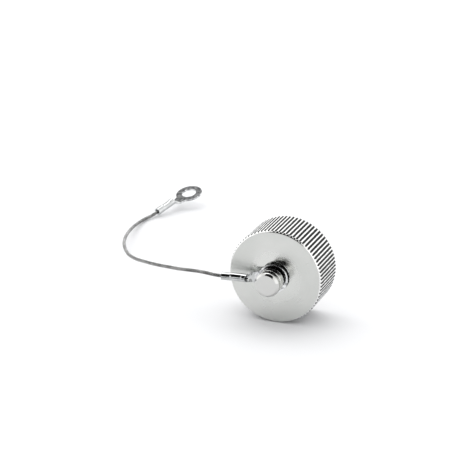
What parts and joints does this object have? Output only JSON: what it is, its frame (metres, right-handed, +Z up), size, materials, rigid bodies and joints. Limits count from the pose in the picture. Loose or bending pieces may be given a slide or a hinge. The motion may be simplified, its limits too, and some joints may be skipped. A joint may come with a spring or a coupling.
{
  "type": "threaded sealing cap",
  "caption": "Knurled screw-on metal sealing cap with a turned stud on its face and a steel wire rope lanyard crimped into ring terminals.",
  "frame": {"origin": "under the middle of the cap and its stud, on the surface that the cap's knurled edge stands on", "axes": "+Y along the cap's axis towards its threaded mouth, the stud points to -Y, +Z up, the lanyard leaves to -X"},
  "size_m": [0.0761, 0.0856, 0.026],
  "materials": {
    "satin_nickel": "satin nickel plate, fine turned face",
    "polished_nickel": "polished nickel plate",
    "seal_rubber": "matte",
    "washer_steel": "plain stainless",
    "gasket_rubber": "matte",
    "tinned_terminal": "bright tin plate",
    "rope_steel": "stranded stainless wire"
  },
  "bodies": {
    "cap": {"cap_shell": "satin_nickel", "lanyard_stud": "polished_nickel", "stud_seal": "seal_rubber", "stud_washer": "washer_steel", "sealing_gasket": "gasket_rubber"},
    "lanyard": {"cap_eyelet": "tinned_terminal", "wire_rope": "rope_steel", "anchor_eyelet": "tinned_terminal"}
  },
  "joints": [
    {"name": "lanyard_swivel", "type": "hinge", "parent": "cap", "child": "lanyard", "pos_m": [0, -0.00415, 0.01299], "axis": [0, -1, 0], "continuous": true}
  ]
}
